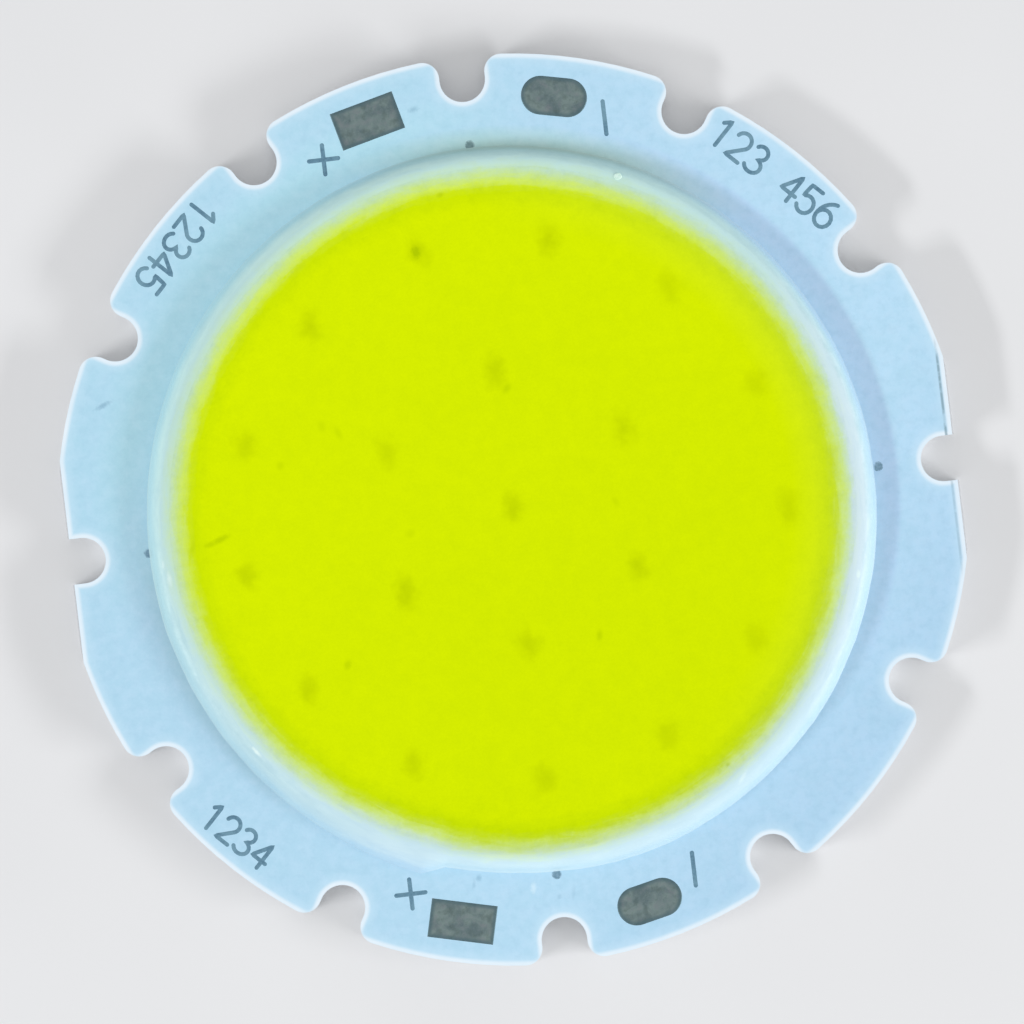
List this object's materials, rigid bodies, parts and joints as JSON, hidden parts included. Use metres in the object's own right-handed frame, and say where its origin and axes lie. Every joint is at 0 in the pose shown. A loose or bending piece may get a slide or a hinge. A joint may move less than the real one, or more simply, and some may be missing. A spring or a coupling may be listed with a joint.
{
  "type": "chip-on-board led",
  "caption": "Round slotted aluminium board with LED chips under a yellow phosphor disc inside a white silicone dam, with solder pads at the rim.",
  "frame": {"origin": "centre of the board's underside", "axes": "+Z out of the light side; X runs through the two slots on the snapped flats, Y through the slots between the solder pads"},
  "size_m": [0.0392, 0.0398, 0.0019],
  "materials": {
    "aluminium": "fine brushed underside, sheared edges",
    "dielectric": "filled epoxy, matt",
    "copper": "etched copper foil",
    "white_mask": "pale blue-white solder mask, satin",
    "tin": "dull levelled tin",
    "solder": "solder",
    "chip": "polished sapphire die",
    "silicone": "white silicone, satin and slightly translucent",
    "phosphor": "yellow phosphor in clear silicone, satin"
  },
  "bodies": {
    "root": {"base_plate": "aluminium", "dielectric_layer": "dielectric", "positive_bus": "copper", "negative_bus": "copper", "chip_link_a1": "copper", "chip_link_a2": "copper", "chip_link_a3": "copper", "chip_link_a4": "copper", "chip_link_a5": "copper", "chip_link_a6": "copper", "chip_link_a7": "copper", "chip_link_a8": "copper", "chip_link_a9": "copper", "chip_link_b1": "copper", "chip_link_b2": "copper", "chip_link_b3": "copper", "chip_link_b4": "copper", "chip_link_b5": "copper", "chip_link_b6": "copper", "chip_link_b7": "copper", "chip_link_b8": "copper", "chip_link_b9": "copper", "solder_mask": "white_mask", "alignment_dots": "tin", "positive_pad_1": "tin", "positive_pad_2": "tin", "negative_pad_1": "tin", "negative_pad_2": "tin", "solder_joints_a": "solder", "solder_joints_b": "solder", "led_chip_1": "chip", "led_chip_2": "chip", "led_chip_3": "chip", "led_chip_4": "chip", "led_chip_5": "chip", "led_chip_6": "chip", "led_chip_7": "chip", "led_chip_8": "chip", "led_chip_9": "chip", "led_chip_10": "chip", "led_chip_11": "chip", "led_chip_12": "chip", "led_chip_13": "chip", "led_chip_14": "chip", "led_chip_15": "chip", "led_chip_16": "chip", "led_chip_17": "chip", "led_chip_18": "chip", "led_chip_19": "chip", "led_chip_20": "chip", "dam_ring": "silicone", "phosphor_gel": "phosphor"}
  },
  "joints": []
}
